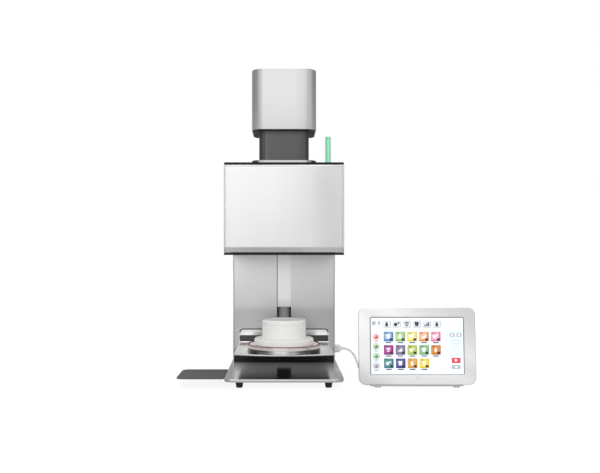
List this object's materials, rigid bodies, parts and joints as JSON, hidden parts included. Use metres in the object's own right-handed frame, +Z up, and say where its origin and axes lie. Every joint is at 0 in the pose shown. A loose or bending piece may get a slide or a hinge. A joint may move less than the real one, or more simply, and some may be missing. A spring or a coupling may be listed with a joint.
{
  "type": "dental lab furnace",
  "caption": "Bench furnace that fires and presses dental ceramics, with a motor lift that closes its chamber from below, a press tower and a touch panel on its own stand.",
  "frame": {"origin": "middle of the footprint of furnace, tray and panel, at the height of the bench", "axes": "+Z up, -Y towards the user in front, +X to the user's right"},
  "size_m": [0.5774, 0.3994, 0.6253],
  "materials": {
    "brushed_steel_sheet": "brushed",
    "silver_lacquer": "satin",
    "polished_steel": "polished",
    "black_lacquer": "satin",
    "anthracite_lacquer": "satin",
    "dark_anodised": "satin",
    "machined_steel": "machined",
    "brass": "machined",
    "ceramic_fibre": "matte",
    "quartz": "satin",
    "foot_rubber": "matte",
    "seal_rubber": "satin",
    "black_plastic": "satin",
    "pale_plastic": "satin",
    "cable_plastic": "satin",
    "green_acrylic": "gloss",
    "screen_glass": "gloss",
    "circuit_board": "satin"
  },
  "bodies": {
    "furnace": {"foot_front_left": "foot_rubber", "foot_front_right": "foot_rubber", "foot_rear_left": "foot_rubber", "foot_rear_right": "foot_rubber", "base_plate": "polished_steel", "side_plate_left": "silver_lacquer", "side_plate_right": "silver_lacquer", "head_front_panel": "brushed_steel_sheet", "column_front": "brushed_steel_sheet", "rear_cover": "silver_lacquer", "head_top_plate": "black_lacquer", "head_bottom_plate": "black_lacquer", "insulation_ring": "ceramic_fibre", "insulation_lid": "ceramic_fibre", "chamber_pot": "machined_steel", "heating_element": "quartz", "thermocouple": "quartz", "vacuum_pipe": "machined_steel", "vacuum_port": "machined_steel", "lift_motor": "black_lacquer", "guide_bracket_lower": "machined_steel", "guide_bracket_upper": "machined_steel", "lift_guide_tube": "polished_steel", "tower_collar": "silver_lacquer", "tower_neck": "anthracite_lacquer", "tower_floor": "black_lacquer", "tower_shell": "silver_lacquer", "press_motor": "black_lacquer", "press_frame": "machined_steel", "light_socket": "polished_steel", "light_rod": "green_acrylic", "side_tray": "anthracite_lacquer", "tray_strip": "black_lacquer", "mains_inlet": "black_plastic", "control_board": "circuit_board", "column_socket": "black_plastic", "cable_plug": "pale_plastic", "panel_stand": "silver_lacquer", "hinge_pin": "polished_steel", "stand_socket": "black_plastic", "cable_far_plug": "pale_plastic", "cable_coil": "cable_plastic", "control_cable": "cable_plastic", "control_cable_tail": "cable_plastic"},
    "lift": {"lift_carriage": "dark_anodised", "lift_nut": "brass", "lift_plate": "brushed_steel_sheet", "firing_table": "polished_steel", "sealing_ring": "seal_rubber", "plinth": "ceramic_fibre", "plinth_cap": "ceramic_fibre"},
    "lift_screw": {"lift_spindle": "machined_steel"},
    "press_ram": {"press_crosshead": "machined_steel", "press_plunger": "quartz"},
    "press_screw": {"press_spindle": "machined_steel"},
    "touch_panel": {"panel_frame": "silver_lacquer", "panel_screen": "screen_glass", "panel_shell": "pale_plastic"},
    "power_key": {"power_button": "pale_plastic"},
    "mains_switch": {"mains_rocker": "black_plastic"}
  },
  "joints": [
    {"name": "lift", "type": "slide", "parent": "furnace", "child": "lift", "axis": [0, 0, 1], "range_m": [0, 0.1821]},
    {"name": "lift_screw_turn", "type": "hinge", "parent": "furnace", "child": "lift_screw", "pos_m": [-0.08115, 0.11635, 0.05], "axis": [0, 0, 1], "range_deg": [-6600, 0]},
    {"name": "press", "type": "slide", "parent": "furnace", "child": "press_ram", "axis": [0, 0, -1], "range_m": [0, 0.045]},
    {"name": "press_screw_turn", "type": "hinge", "parent": "furnace", "child": "press_screw", "pos_m": [-0.08115, -0.07665, 0.55], "axis": [0, 0, 1], "range_deg": [0, 3260]},
    {"name": "panel_tilt", "type": "hinge", "parent": "furnace", "child": "touch_panel", "pos_m": [0.17575, -0.14834, 0.06491], "axis": [-1, 0, 0], "range_deg": [0, 25]},
    {"name": "power_press", "type": "slide", "parent": "touch_panel", "child": "power_key", "axis": [0, 0.9962, -0.0872], "range_m": [0, 0.001], "stiffness_N_per_m": 1200},
    {"name": "mains_rock", "type": "hinge", "parent": "furnace", "child": "mains_switch", "pos_m": [-0.10915, 0.17785, 0.0593], "axis": [1, 0, 0], "range_deg": [0, 20]}
  ],
  "couplings": [
    {"joint": "lift_screw_turn", "follows": "lift", "rad_per_m": -628.32},
    {"joint": "press_screw_turn", "follows": "press", "rad_per_m": 1256.6}
  ]
}
